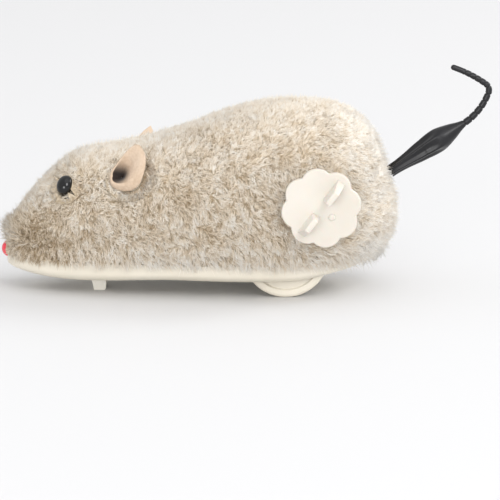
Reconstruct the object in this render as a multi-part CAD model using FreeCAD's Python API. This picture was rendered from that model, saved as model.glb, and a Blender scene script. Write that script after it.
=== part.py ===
import FreeCAD, Part
import math
import os

from FreeCAD import Matrix, Placement, Rotation, Vector

# A clockwork mouse: a plush-covered shell on a moulded belly pan, with a spring movement that
# drives two wheels and a whirling rubber tail.
#
# The mouse stands on z = 0 and faces -X. The drive axle lies above the origin. The left side,
# where the winding knob is, faces -Y. Sizes are in millimetres and angles in degrees.

# ---------------------------------------------------------------- driving dimensions

# Body envelope: x, half width, top z, bottom z of each cross-section
BODY_STATIONS = (
    (-78.4, 2.6, 17.6, 9.6),
    (-77.4, 5.4, 20.4, 6.4),
    (-75.0, 8.6, 24.0, 3.0),
    (-71.0, 11.8, 29.0, 0.0),
    (-66.0, 14.6, 34.3, -1.5),
    (-59.0, 17.6, 39.0, -2.0),
    (-50.0, 20.2, 41.2, -2.0),
    (-38.0, 22.6, 43.6, -2.0),
    (-26.0, 24.4, 47.6, -2.0),
    (-12.0, 26.4, 52.4, -2.0),
    (4.0, 27.2, 54.3, -1.5),
    (14.0, 26.0, 53.0, 1.5),
    (21.0, 23.0, 49.8, 5.6),
    (25.4, 18.8, 44.8, 9.0),
    (27.9, 14.8, 38.0, 11.4),
    (29.6, 10.8, 32.4, 13.6),
    (30.9, 6.6, 28.6, 16.4),
    (31.6, 3.0, 25.6, 19.4),
)
BODY_ROUNDNESS = 2.4  # superellipse exponent of the cross-sections: 2 is an ellipse
SPLIT_Z = 9.6  # the plush and the shell end here, and the belly pan begins
PLUSH_T = 3.0
GLUE_T = 0.3
SHELL_T = 1.3

# Belly pan: x, half width, bottom z of each cross-section
PAN_STATIONS = (
    (-77.6, 2.6, 7.4),
    (-76.6, 4.6, 6.6),
    (-74.0, 7.6, 5.7),
    (-70.0, 10.4, 4.8),
    (-64.0, 13.0, 3.9),
    (-55.0, 15.6, 3.5),
    (-44.0, 17.8, 3.8),
    (-32.0, 19.4, 4.2),
    (-18.0, 20.7, 3.9),
    (-8.0, 21.2, 3.8),
    (2.0, 21.0, 4.1),
    (9.0, 19.8, 5.4),
    (14.6, 17.6, 6.8),
    (19.2, 13.2, 7.9),
    (21.6, 7.2, 8.6),
)
PAN_ROUNDNESS = 4.0
PAN_T = 1.3
BAY_X = (-14.4, 8.0)  # the shallow step in the pan's underside round the wheels
BAY_Z = 4.75

FOOT_X = (-54.3, -50.0)
FOOT_HALF_WIDTH = 5.2
FOOT_FLANGE_Z = (4.3, 5.7)

# Movement
DRIVE = Vector(0, 0, 12.0)  # drive axle
WINDING = Vector(9.4, 0, 27.7)  # winding arbor
TAIL_ROOT = Vector(29.5, 0, 32.9)  # where the tail leaves the plush
TAIL_ANGLE = 33.5  # the tail's axis above the horizontal
MODULE = 0.5
PRESSURE_ANGLE = 28.0
ADDENDUM = 0.85 * MODULE
DEDENDUM = 1.1 * MODULE
BACKLASH = 0.12
GREAT_TEETH = 36
INTERMEDIATE_PINION_TEETH = 10
INTERMEDIATE_TEETH = 30
AXLE_PINION_TEETH = 10
COUNTER_PINION_TEETH = 8
CROWN_TEETH = 16
TAIL_PINION_TEETH = 8

PLATE_Y = 9.0  # inner face of each side plate
PLATE_T = 1.2
PLATE_MARGIN = 2.4
PIVOT_END_Y = 10.6
RUNNING = 0.05  # radial clearance of every shaft in its hole

ARBOR_R = 1.25
COUNTER_R = 0.8
AXLE_R = 1.0
SPINDLE_R = 1.0

UPPER_PILLAR_R = 1.25
LOWER_PILLAR_R = 2.0
RIVET_R = 0.8
SPRING_POST_RADIUS = 11.2  # from the winding arbor
SPRING_POST_ANGLE = 110.0
UPPER_PILLARS = (Vector(-8.6, 0, 27.0), Vector(19.0, 0, 37.0))
LOWER_PILLARS = (Vector(-9.0, 0, 9.8), Vector(11.6, 0, 10.3))
PLATE_CORNER = Vector(21.4, 0, 26.0)

GREAT_Y = (-8.6, -7.0)
RATCHET_Y = (-6.7, -5.5)
RATCHET_TEETH = 12
RATCHET_PHASE = 75.0
RATCHET_R = 4.4
RATCHET_ROOT_R = 3.5
CLICK_PIVOT_RADIUS = 6.9
CLICK_PIVOT_ANGLE = 55.0  # ahead of the tooth that the click rests on
CLICK_STUD_R = 0.6
CLICK_SPRING_BEND = ((6.9, -62.0), (6.5, -25.0), (6.1, 10.0))  # radius, angle
CLICK_SPRING_T = 0.25
CLICK_SPRING_WIDTH = 0.6
INTERMEDIATE_Y = (-4.7, -3.3)
SPRING_Y = (1.6, 7.6)
SPRING_T = 0.25
SPRING_TURNS = 8

WHEEL_R = 12.0
WHEEL_Y = (12.0, 16.0)
SLOT_HALF_LENGTH = 12.3
SLOT_Y = (11.5, 16.5)

KNOB_PETALS = 8
KNOB_PHASE = 10.0
KNOB_R = 10.9
KNOB_NOTCH_R = 9.65
KNOB_Y = (-31.0, -29.0)
KNOB_HUB_R = 3.0
KNOB_HUB_Y = -25.2
FIN_ANGLE = 52.6
FIN_SPAN = (2.2, 9.2)  # from the knob's axis
FIN_HEIGHT = 6.4
FIN_T = 1.3
NUB_AT = (2.9, -2.4)
NUB_R = 0.9

CASE_SCREWS = ((-63.0, 0.0), (-24.0, 12.0), (-24.0, -12.0))
SCREW_R = 1.0
SCREW_HEAD_R = 1.9
SCREW_HEAD_T = 0.9
SCREW_SINK = 1.0
CASE_SCREW_TOP_Z = 16.0
COLUMN_R = 2.6
BOSS_R = 3.2

EYE_AT = (-61.0, 31.4)
EYE_AXIS = Vector(-0.33, -0.76, 0.56)
EYE_RADII = (2.3, 2.8, 2.0)
EYE_SINK = 0.5
EYE_STEM_R = 0.7
NOSE_STEM_R = 1.0
STEM_LENGTH = 6.0
POCKET = 0.1
EAR_AT = Vector(-42.4, -18.8, 36.1)
EAR_OPENING = Vector(-0.5, -0.84, 0.2)
EAR_UP = Vector(0.3, -0.2, 0.93)
EAR_RADII = (4.9, 6.2, 4.2)  # across, along, deep
FELT_T = 0.9
NOSE_AT = Vector(-77.0, 0, 10.9)
NOSE_RADII = (2.4, 2.6, 2.4)

# Tail: radius of the bulb at distances along its axis, then the whip's bends
BULB = ((0.0, 1.75), (4.0, 2.0), (9.5, 2.8), (15.5, 3.35), (19.5, 2.4), (24.0, 0.95))
WHIP_R = 0.9
WHIP_BENDS = ((17.5, 36.5), (2.2, 75.0), (36.0, 16.0))  # radius, turn of each arc
BUSH_R = 2.6

# Tail drive, as distances along the tail's axis from the countershaft
SPINDLE_S = (1.6, 17.5)
TAIL_PINION_S = (3.5, 4.5)
BUSH_START_S = 5.7
BUSH_END_S = 9.6
CROWN_RADII = (3.35, 4.65)
CROWN_ROOT_Y = -2.6
CROWN_TIP_Y = -1.65
CROWN_DISC_T = 1.3
CROWN_TOOTH_T = 0.48
CROWN_FLANK_ANGLE = 24.0

X_AXIS = Vector(1, 0, 0)
Y_AXIS = Vector(0, 1, 0)
Z_AXIS = Vector(0, 0, 1)
FAR = 200.0


# ---------------------------------------------------------------- general helpers

def polar(radius, angle, centre=Vector(), y=0.0):
    """A point in the XZ plane, angle measured from +X towards +Z."""
    turn = math.radians(angle)
    return Vector(centre.x + radius * math.cos(turn), y, centre.z + radius * math.sin(turn))


def rod(radius, start, end):
    """A round bar between two points."""
    return Part.makeCylinder(radius, (end - start).Length, start, end - start)


def rod_y(radius, centre, y0, y1):
    return rod(radius, Vector(centre.x, y0, centre.z), Vector(centre.x, y1, centre.z))


def rod_z(radius, x, y, z0, z1):
    return rod(radius, Vector(x, y, z0), Vector(x, y, z1))


def block(x0, x1, y0, y1, z0, z1):
    return Part.makeBox(x1 - x0, y1 - y0, z1 - z0, Vector(x0, y0, z0))


def prism_y(points, y0, y1):
    """The outline through points in the XZ plane, from y0 to y1."""
    outline = [Vector(p.x, y0, p.z) for p in points]
    face = Part.Face(Part.makePolygon(outline + outline[:1]))
    return face.extrude(Vector(0, y1 - y0, 0))


def mirrored(shape):
    return shape.mirror(Vector(), Y_AXIS)


def power(value, exponent):
    return math.copysign(abs(value) ** exponent, value)


def inset(value, depth):
    """value less about depth, which stays positive however small the value is."""
    return value * value / (value + depth)


def section(x, half_width, middle_z, half_height, roundness):
    """A closed superellipse across the body at x."""
    points = []
    for step in range(20):
        turn = 2 * math.pi * step / 20
        y = half_width * power(math.cos(turn), 2 / roundness)
        z = middle_z + half_height * power(math.sin(turn), 2 / roundness)
        points.append(Vector(x, y, z))
    curve = Part.BSplineCurve()
    curve.interpolate(Points=points, PeriodicFlag=True)
    return Part.Wire(curve.toShape())


def drawn_in(x, stations, depth):
    """x moved towards the middle of the stations, by depth at either end."""
    first = stations[0][0]
    last = stations[-1][0]
    middle = (first + last) / 2
    return middle + (x - middle) * (1 - 2 * depth / (last - first))


def body_form(depth):
    """The closed body shape, depth inside the plush's outer surface."""
    wires = []
    for x, half_width, top, bottom in BODY_STATIONS:
        wires.append(
            section(
                drawn_in(x, BODY_STATIONS, depth),
                inset(half_width, depth),
                (top + bottom) / 2,
                inset((top - bottom) / 2, depth),
                BODY_ROUNDNESS,
            )
        )
    return Part.makeLoft(wires, True, False)


def pan_form(depth):
    """The pan's shape, mirrored above the split plane."""
    wires = []
    for x, half_width, bottom in PAN_STATIONS:
        wires.append(
            section(
                drawn_in(x, PAN_STATIONS, depth),
                inset(half_width, depth),
                SPLIT_Z,
                inset(SPLIT_Z - bottom, depth),
                PAN_ROUNDNESS,
            )
        )
    return Part.makeLoft(wires, True, False)


def below_split():
    return block(-FAR, FAR, -FAR, FAR, -FAR, SPLIT_Z)


def above_split():
    return block(-FAR, FAR, -FAR, FAR, SPLIT_Z, FAR)


def ellipsoid(centre, directions, radii):
    """An ellipsoid whose three radii lie along three square directions."""
    stretch = Matrix()
    stretch.scale(*radii)
    ball = Part.makeSphere(1.0).transformGeometry(stretch)
    ball.Placement = Placement(centre, Rotation(*directions, "ZXY"))
    return ball


def grown(radii, by):
    return tuple(r + by for r in radii)


# ---------------------------------------------------------------- movement geometry

def circles_meet(a, radius_a, b, radius_b, side):
    """Where two circles in the XZ plane cross. side picks one of the two points."""
    apart = b - a
    d = apart.Length
    along = (radius_a**2 - radius_b**2 + d**2) / (2 * d)
    across = math.sqrt(radius_a**2 - along**2)
    unit = apart * (1 / d)
    return a + unit * along + Vector(-unit.z, 0, unit.x) * across * side


def pitch_radius(teeth):
    return MODULE * teeth / 2


TAIL_AXIS = polar(1.0, TAIL_ANGLE)
INTERMEDIATE = circles_meet(
    WINDING,
    pitch_radius(GREAT_TEETH + INTERMEDIATE_PINION_TEETH),
    DRIVE,
    pitch_radius(INTERMEDIATE_TEETH + AXLE_PINION_TEETH),
    -1,
)


def countershaft_centre():
    """The point on the tail's axis that puts the countershaft in mesh with the great wheel."""
    reach = pitch_radius(GREAT_TEETH + COUNTER_PINION_TEETH)
    back = TAIL_ROOT - WINDING
    half = back.dot(TAIL_AXIS)
    distance = half - math.sqrt(half**2 - back.Length**2 + reach**2)
    return TAIL_ROOT - TAIL_AXIS * distance


COUNTER = countershaft_centre()
ROOT_S = (TAIL_ROOT - COUNTER).Length  # the tail's root, from the countershaft


def on_tail_axis(s):
    return COUNTER + TAIL_AXIS * s


def angle_to(a, b):
    return math.degrees(math.atan2(b.z - a.z, b.x - a.x))


def meshed_phase(line_angle, teeth, phase, other_teeth):
    """The phase that puts other_teeth in mesh with teeth, across a line of centres."""
    return line_angle + 180 - (phase - line_angle) * teeth / other_teeth + 180 / other_teeth


GREAT_PHASE = 0.0
INTERMEDIATE_PINION_PHASE = meshed_phase(
    angle_to(WINDING, INTERMEDIATE), GREAT_TEETH, GREAT_PHASE, INTERMEDIATE_PINION_TEETH
)
INTERMEDIATE_PHASE = 0.0
AXLE_PINION_PHASE = meshed_phase(
    angle_to(INTERMEDIATE, DRIVE), INTERMEDIATE_TEETH, INTERMEDIATE_PHASE, AXLE_PINION_TEETH
)
COUNTER_PINION_PHASE = meshed_phase(
    angle_to(WINDING, COUNTER), GREAT_TEETH, GREAT_PHASE, COUNTER_PINION_TEETH
)


def involute(angle):
    return math.tan(angle) - angle


def tooth_half_angle(teeth, radius):
    """Half of a tooth's width at radius, in radians."""
    pressure = math.radians(PRESSURE_ANGLE)
    pitch = pitch_radius(teeth)
    base = pitch * math.cos(pressure)
    at_radius = math.acos(min(1.0, base / radius))
    at_pitch = math.pi / (2 * teeth) - BACKLASH / (4 * pitch)
    return at_pitch + involute(pressure) - involute(at_radius)


def flank(teeth, middle, side):
    """Points up one side of a tooth, as radius and angle."""
    root = pitch_radius(teeth) - DEDENDUM
    tip = pitch_radius(teeth) + ADDENDUM
    base = pitch_radius(teeth) * math.cos(math.radians(PRESSURE_ANGLE))
    start = max(root, base)
    points = []
    for step in range(5):
        radius = start + (tip - start) * step / 4
        angle = middle + side * math.degrees(tooth_half_angle(teeth, radius))
        points.append((radius, angle))
    return points


def gear_outline(teeth, phase):
    """The closed wire of a spur gear in the XZ plane, centred on the origin."""
    root = pitch_radius(teeth) - DEDENDUM
    tip = pitch_radius(teeth) + ADDENDUM
    pitch = 360 / teeth
    edges = []
    for tooth in range(teeth):
        middle = phase + tooth * pitch
        rise = flank(teeth, middle, -1)
        fall = flank(teeth, middle, 1)[::-1]
        for points in (rise, fall):
            curve = Part.BSplineCurve()
            curve.interpolate([polar(r, a) for r, a in points])
            edges.append(curve.toShape())
        edges.append(
            Part.Arc(polar(tip, rise[-1][1]), polar(tip, middle), polar(tip, fall[0][1])).toShape()
        )
        next_angle = flank(teeth, middle + pitch, -1)[0][1]
        last_angle = fall[-1][1]
        edges.append(
            Part.Arc(
                polar(root, last_angle),
                polar(root, (last_angle + next_angle) / 2),
                polar(root, next_angle),
            ).toShape()
        )
        if root < rise[0][0]:
            edges.append(Part.makeLine(polar(root, rise[0][1]), polar(*rise[0])))
            edges.append(Part.makeLine(polar(*fall[-1]), polar(root, last_angle)))
    return Part.Wire(Part.__sortEdges__(edges))


def spur_gear(teeth, phase, centre, y0, y1, bore):
    outline = gear_outline(teeth, phase)
    outline.translate(Vector(centre.x, y0, centre.z))
    gear = Part.Face(outline).extrude(Vector(0, y1 - y0, 0))
    return gear.cut(rod_y(bore, centre, y0 - 1, y1 + 1))


# ---------------------------------------------------------------- body covers

def facing(axis):
    """Directions across, up and along for a piece that looks along axis."""
    along = Vector(axis).normalize()
    across = along.cross(Z_AXIS).normalize()
    return across, across.cross(along).normalize(), along


def eye(plush_form):
    """A bead whose stem goes through the plush into the shell, and the pocket that it needs."""
    x, z = EYE_AT
    ray = Part.makeLine(Vector(x, -FAR, z), Vector(x, 0, z)).common(plush_form)
    seat = min((vertex.Point for vertex in ray.Vertexes), key=lambda point: point.y)
    directions = facing(EYE_AXIS)
    inwards = directions[2] * -1
    centre = seat + inwards * EYE_SINK
    bead = ellipsoid(centre, directions, EYE_RADII)
    stem = rod(EYE_STEM_R, centre, centre + inwards * STEM_LENGTH)
    pocket = ellipsoid(centre, directions, grown(EYE_RADII, POCKET))
    stem_hole = rod(EYE_STEM_R + POCKET, centre, centre + inwards * (STEM_LENGTH + 1))
    return bead.fuse(stem), pocket.fuse(stem_hole)


def ear():
    """A felt cup, and the pocket in the plush that it is glued into."""
    opening = Vector(EAR_OPENING).normalize()
    across = EAR_UP.cross(opening).normalize()
    directions = (across, opening.cross(across).normalize(), opening)
    outside = ellipsoid(EAR_AT, directions, EAR_RADII)
    inside = ellipsoid(EAR_AT, directions, grown(EAR_RADII, -FELT_T))
    front = Part.makeBox(FAR, FAR, FAR, Vector(-FAR / 2, -FAR / 2, 0))
    front.Placement = Placement(EAR_AT, Rotation(*directions, "ZXY")).multiply(front.Placement)
    cup = outside.cut(inside).cut(front)
    return cup, ellipsoid(EAR_AT, directions, grown(EAR_RADII, POCKET))


def nose():
    directions = (X_AXIS, Y_AXIS, Z_AXIS)
    tip = ellipsoid(NOSE_AT, directions, NOSE_RADII)
    stem = rod(NOSE_STEM_R, NOSE_AT, NOSE_AT + X_AXIS * STEM_LENGTH)
    pocket = ellipsoid(NOSE_AT, directions, grown(NOSE_RADII, POCKET))
    stem_hole = rod(NOSE_STEM_R + POCKET, NOSE_AT, NOSE_AT + X_AXIS * (STEM_LENGTH + 1))
    return tip.fuse(stem), pocket.fuse(stem_hole)


def tail_passage(radius):
    return rod(radius, on_tail_axis(BUSH_START_S - 1), on_tail_axis(ROOT_S + 8))


def wheel_arches():
    """The room that both wheels need inside the body."""
    left = rod_y(WHEEL_R + 0.8, DRIVE, -SLOT_Y[1] - 0.4, -SLOT_Y[0] + 0.6)
    return left.fuse(mirrored(left))


def plush_cover(outer, pockets):
    cover = outer.cut(body_form(PLUSH_T)).cut(below_split())
    cover = cover.cut(rod_y(KNOB_HUB_R + 1.2, WINDING, -FAR, 0))
    cover = cover.cut(tail_passage(BUSH_R + 0.6))
    for pocket in pockets:
        cover = cover.cut(pocket)
    return cover


def body_shell(pockets):
    """The moulded former under the plush, with a column over each case screw."""
    outer = body_form(PLUSH_T + GLUE_T)
    shell = outer.cut(body_form(PLUSH_T + GLUE_T + SHELL_T))
    for x, y in CASE_SCREWS:
        shell = shell.fuse(rod_z(COLUMN_R, x, y, 0, FAR).common(outer))
    shell = shell.cut(below_split()).cut(wheel_arches())
    for x, y in CASE_SCREWS:
        shell = shell.cut(rod_z(SCREW_R, x, y, 0, CASE_SCREW_TOP_Z + 1))
    shell = shell.cut(rod_y(ARBOR_R + 0.8, WINDING, -FAR, 0))
    shell = shell.cut(tail_passage(BUSH_R + RUNNING))
    for pocket in pockets:
        shell = shell.cut(pocket)
    return shell


# ---------------------------------------------------------------- belly pan and its fittings

def gearbox_screw_places():
    return [(pillar.x, 0.0) for pillar in LOWER_PILLARS]


def screw_seat(form, x, y):
    """The height of a screw head's seat, which is sunk into the pan's underside."""
    ray = Part.makeLine(Vector(x, y, -FAR), Vector(x, y, SPLIT_Z)).common(form)
    return min(vertex.Point.z for vertex in ray.Vertexes) + SCREW_SINK


def screw(form, x, y, top):
    """A pan-head screw with a crossed recess, head down."""
    seat = screw_seat(form, x, y)
    head_z = seat - SCREW_HEAD_T
    shape = rod_z(SCREW_HEAD_R, x, y, head_z, seat).fuse(rod_z(SCREW_R, x, y, seat, top))
    for half_x, half_y in ((1.2, 0.2), (0.2, 1.2)):
        shape = shape.cut(
            block(x - half_x, x + half_x, y - half_y, y + half_y, head_z - 1, head_z + 0.5)
        )
    return shape


def case_screws(form):
    return Part.makeCompound([screw(form, x, y, CASE_SCREW_TOP_Z) for x, y in CASE_SCREWS])


def gearbox_screws(form):
    screws = []
    for pillar in LOWER_PILLARS:
        screws.append(screw(form, pillar.x, 0.0, pillar.z + 1))
    return Part.makeCompound(screws)


def belly_pan(form):
    """The moulded pan, with screw bosses, gearbox posts, wheel slots and a slot for the foot."""
    pan = form.cut(pan_form(PAN_T))
    for x, y in CASE_SCREWS:
        pan = pan.fuse(rod_z(BOSS_R, x, y, 0, SPLIT_Z).common(form))
    for pillar in LOWER_PILLARS:
        post = rod_z(COLUMN_R, pillar.x, 0, 0, pillar.z - LOWER_PILLAR_R)
        pan = pan.fuse(post.common(form))
    pan = pan.cut(above_split())
    for x, y in list(CASE_SCREWS) + gearbox_screw_places():
        pan = pan.cut(rod_z(SCREW_R + 0.1, x, y, 0, SPLIT_Z + 1))
        pan = pan.cut(rod_z(SCREW_HEAD_R + 0.2, x, y, 0, screw_seat(form, x, y)))
    for side in (-1, 1):
        near, far = sorted((side * SLOT_Y[0], side * SLOT_Y[1]))
        pan = pan.cut(block(-SLOT_HALF_LENGTH, SLOT_HALF_LENGTH, near, far, 0, SPLIT_Z + 1))
    pan = pan.cut(block(BAY_X[0], BAY_X[1], -FAR, FAR, 0, BAY_Z))
    return pan.cut(
        block(FOOT_X[0] - 0.1, FOOT_X[1] + 0.1, -FOOT_HALF_WIDTH - 0.1, FOOT_HALF_WIDTH + 0.1, 0, 7)
    )


def front_foot(pan):
    """The skid under the chest: a slanted blade with a flange that lies on the pan's floor."""
    front, back = FOOT_X
    outline = (
        Vector(front, 0, FOOT_FLANGE_Z[0]),
        Vector(front, 0, 4.0),
        Vector(front + 0.9, 0, 0.0),
        Vector(back - 0.5, 0, 0.0),
        Vector(back - 0.1, 0, 0.4),
        Vector(back, 0, FOOT_FLANGE_Z[0]),
    )
    blade = prism_y(outline, -FOOT_HALF_WIDTH, FOOT_HALF_WIDTH)
    flange = block(
        front - 1.5, back + 1.5, -FOOT_HALF_WIDTH - 1.4, FOOT_HALF_WIDTH + 1.4, *FOOT_FLANGE_Z
    )
    return blade.fuse(flange).cut(pan)


# ---------------------------------------------------------------- movement frame

def spring_post():
    return polar(SPRING_POST_RADIUS, SPRING_POST_ANGLE, WINDING)


def upper_pillar_centres():
    return (UPPER_PILLARS[0], spring_post(), UPPER_PILLARS[1])


def gearbox_plate(side):
    """A flat plate on one side of the movement, drilled for every pivot and rivet."""
    corners = [
        LOWER_PILLARS[0],
        LOWER_PILLARS[1],
        PLATE_CORNER,
        UPPER_PILLARS[1],
        spring_post(),
        UPPER_PILLARS[0],
    ]
    outline = Part.Face(Part.makePolygon(corners + corners[:1])).makeOffset2D(PLATE_MARGIN)
    plate = Part.Face(outline.Wires[0]).extrude(Y_AXIS * PLATE_T)
    near = PLATE_Y if side > 0 else -PLATE_Y - PLATE_T
    plate.translate(Y_AXIS * near)
    pivots = [(WINDING, ARBOR_R), (COUNTER, COUNTER_R), (INTERMEDIATE, COUNTER_R), (DRIVE, AXLE_R)]
    holes = [(centre, radius + RUNNING) for centre, radius in pivots]
    holes += [(centre, RIVET_R) for centre in upper_pillar_centres() + LOWER_PILLARS]
    for centre, radius in holes:
        plate = plate.cut(rod_y(radius, centre, near - 1, near + PLATE_T + 1))
    return plate


def pillar(centre, radius):
    """A spacer between the plates, with a riveted end through each of them."""
    end = PLATE_Y + PLATE_T + 0.3
    return rod_y(radius, centre, -PLATE_Y, PLATE_Y).fuse(rod_y(RIVET_R, centre, -end, end))


def upper_pillars():
    return Part.makeCompound([pillar(c, UPPER_PILLAR_R) for c in upper_pillar_centres()])


def lower_pillars():
    shapes = []
    for centre in LOWER_PILLARS:
        tapped = rod_z(SCREW_R, centre.x, 0, 0, centre.z + 1.2)
        shapes.append(pillar(centre, LOWER_PILLAR_R).cut(tapped))
    return Part.makeCompound(shapes)


def mainspring():
    """A flat strip wound round the arbor, whose outer end meets the spring post."""
    inner = ARBOR_R + 0.03
    outer = SPRING_POST_RADIUS - UPPER_PILLAR_R - SPRING_T - 0.02
    steps = SPRING_TURNS * 12
    first_angle = SPRING_POST_ANGLE - 360 * SPRING_TURNS
    curves = []
    for offset in (0, SPRING_T):
        points = []
        for step in range(steps + 1):
            radius = inner + offset + (outer - inner) * step / steps
            points.append(polar(radius, first_angle + 30 * step, WINDING, SPRING_Y[0]))
        curve = Part.BSplineCurve()
        curve.interpolate(points)
        curves.append(curve.toShape())
    ends = [
        Part.makeLine(curves[0].Vertexes[end].Point, curves[1].Vertexes[end].Point)
        for end in (0, 1)
    ]
    outline = Part.Wire(Part.__sortEdges__(curves + ends))
    return Part.Face(outline).extrude(Y_AXIS * (SPRING_Y[1] - SPRING_Y[0]))


# ---------------------------------------------------------------- winding group

def winding_arbor():
    return rod_y(ARBOR_R, WINDING, KNOB_Y[0] + 0.8, PIVOT_END_Y)


def winding_knob():
    """A petalled disc with a hub, a thumb fin split at the middle, and a small nub."""
    edges = []
    pitch = 360 / KNOB_PETALS
    for petal in range(KNOB_PETALS):
        middle = KNOB_PHASE + petal * pitch
        edges.append(
            Part.Arc(
                polar(KNOB_NOTCH_R, middle - pitch / 2, WINDING, KNOB_Y[0]),
                polar(KNOB_R, middle, WINDING, KNOB_Y[0]),
                polar(KNOB_NOTCH_R, middle + pitch / 2, WINDING, KNOB_Y[0]),
            ).toShape()
        )
    knob = Part.Face(Part.Wire(edges)).extrude(Y_AXIS * (KNOB_Y[1] - KNOB_Y[0]))
    knob = knob.fuse(rod_y(KNOB_HUB_R, WINDING, KNOB_Y[1] - 0.5, KNOB_HUB_Y))
    for side in (-1, 1):
        knob = knob.fuse(thumb_fin(side))
    nub = WINDING + Vector(NUB_AT[0], 0, NUB_AT[1])
    knob = knob.fuse(rod_y(NUB_R, nub, KNOB_Y[0] - 0.6, KNOB_Y[0] + 0.5))
    return knob.cut(winding_arbor()).removeSplitter()


def thumb_fin(side):
    """One wing of the fin, which slopes down towards the knob's rim."""
    base_y = KNOB_Y[0] + 0.5
    top_y = KNOB_Y[0] - FIN_HEIGHT
    inner, outer = (side * span for span in FIN_SPAN)
    profile = (
        polar(inner, FIN_ANGLE, WINDING, base_y),
        polar(outer, FIN_ANGLE, WINDING, base_y),
        polar(outer - side * 0.5, FIN_ANGLE, WINDING, KNOB_Y[0] - 1.0),
        polar(outer - side * 2.6, FIN_ANGLE, WINDING, top_y),
        polar(inner + side * 0.4, FIN_ANGLE, WINDING, top_y),
    )
    across = polar(FIN_T, FIN_ANGLE + 90)
    wing = Part.Face(Part.makePolygon(profile + profile[:1])).extrude(across)
    wing.translate(across * -0.5)
    return wing


def ratchet_wheel():
    points = []
    for tooth in range(RATCHET_TEETH):
        angle = RATCHET_PHASE + tooth * 360 / RATCHET_TEETH
        points.append(polar(RATCHET_R, angle, WINDING))
        points.append(polar(RATCHET_ROOT_R, angle, WINDING))
    return prism_y(points, *RATCHET_Y).cut(winding_arbor())


# ---------------------------------------------------------------- great wheel group

def click_pivot():
    return polar(CLICK_PIVOT_RADIUS, RATCHET_PHASE + CLICK_PIVOT_ANGLE, WINDING)


def spring_stud():
    radius, angle = CLICK_SPRING_BEND[0]
    return polar(radius, RATCHET_PHASE + angle, WINDING)


def great_wheel():
    """The first gear, which turns on the arbor and carries the click on a stud."""
    wheel = spur_gear(GREAT_TEETH, GREAT_PHASE, WINDING, *GREAT_Y, ARBOR_R + RUNNING)
    top = RATCHET_Y[1] + 0.2
    wheel = wheel.fuse(rod_y(CLICK_STUD_R, click_pivot(), GREAT_Y[0] + 0.2, top))
    return wheel.fuse(rod_y(CLICK_STUD_R, spring_stud(), GREAT_Y[0] + 0.2, top))


def click():
    """The pawl that a steep ratchet tooth pushes on."""
    pivot = click_pivot()
    outline = (
        polar(3.7, RATCHET_PHASE + 1.6, WINDING),
        polar(4.8, RATCHET_PHASE + 14, WINDING),
        polar(5.9, RATCHET_PHASE + CLICK_PIVOT_ANGLE, WINDING),
        polar(8.0, RATCHET_PHASE + CLICK_PIVOT_ANGLE, WINDING),
        polar(6.6, RATCHET_PHASE + 16, WINDING),
        polar(4.9, RATCHET_PHASE + 1.6, WINDING),
    )
    pawl = prism_y(outline, *RATCHET_Y).fuse(rod_y(1.15, pivot, *RATCHET_Y))
    return pawl.cut(rod_y(CLICK_STUD_R + RUNNING, pivot, RATCHET_Y[0] - 1, RATCHET_Y[1] + 1))


def click_spring():
    """A leaf bent round the ratchet wheel, from its stud to the back of the click's nose."""
    start_y = (RATCHET_Y[0] + RATCHET_Y[1] - CLICK_SPRING_WIDTH) / 2
    edges = []
    for thickness in (0, CLICK_SPRING_T):
        points = [
            polar(radius + thickness, RATCHET_PHASE + angle, WINDING, start_y)
            for radius, angle in CLICK_SPRING_BEND
        ]
        edges.append(Part.Arc(*points).toShape())
    for end in (0, 1):
        ends = [edge.Vertexes[end].Point for edge in edges[:2]]
        edges.append(Part.makeLine(*ends))
    outline = Part.Wire(Part.__sortEdges__(edges))
    leaf = Part.Face(outline).extrude(Y_AXIS * CLICK_SPRING_WIDTH)
    return leaf.cut(rod_y(CLICK_STUD_R, spring_stud(), RATCHET_Y[0] - 1, RATCHET_Y[1] + 1))


# ---------------------------------------------------------------- running train

def intermediate_arbor():
    return rod_y(COUNTER_R, INTERMEDIATE, -PIVOT_END_Y, PIVOT_END_Y)


def intermediate_pinion():
    return spur_gear(
        INTERMEDIATE_PINION_TEETH, INTERMEDIATE_PINION_PHASE, INTERMEDIATE,
        GREAT_Y[0] - 0.1, GREAT_Y[1] + 0.1, COUNTER_R,
    )


def intermediate_wheel():
    return spur_gear(
        INTERMEDIATE_TEETH, INTERMEDIATE_PHASE, INTERMEDIATE, *INTERMEDIATE_Y, COUNTER_R
    )


def drive_axle():
    return rod_y(AXLE_R, DRIVE, -WHEEL_Y[1] + 0.3, WHEEL_Y[1] - 0.3)


def axle_pinion():
    return spur_gear(
        AXLE_PINION_TEETH, AXLE_PINION_PHASE, DRIVE,
        INTERMEDIATE_Y[0] - 0.1, INTERMEDIATE_Y[1] + 0.1, AXLE_R,
    )


def wheel_left():
    """A moulded wheel with a soft rim edge, a dished web and a hub."""
    inner, outer = -WHEEL_Y[0], -WHEEL_Y[1]
    profile = (
        (0, inner + 0.8), (2.6, inner + 0.8), (2.6, inner - 1.2), (9.6, inner - 1.2), (10.0, inner),
        (WHEEL_R - 0.5, inner), (WHEEL_R, inner - 0.5), (WHEEL_R, outer + 0.8),
        (WHEEL_R - 0.25, outer + 0.25), (WHEEL_R - 0.8, outer), (10.0, outer), (9.6, outer + 0.5),
        (3.0, outer + 0.5), (2.7, outer), (0, outer),
    )
    points = [DRIVE + Vector(radius, y, 0) for radius, y in profile]
    disc = Part.Face(Part.makePolygon(points + points[:1])).revolve(DRIVE, Y_AXIS, 360)
    return disc.cut(drive_axle())


# ---------------------------------------------------------------- tail drive

def tail_countershaft():
    return rod_y(COUNTER_R, COUNTER, -PIVOT_END_Y, PIVOT_END_Y)


def countershaft_pinion():
    return spur_gear(
        COUNTER_PINION_TEETH, COUNTER_PINION_PHASE, COUNTER,
        GREAT_Y[0] - 0.1, GREAT_Y[1] + 0.1, COUNTER_R,
    )


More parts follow.
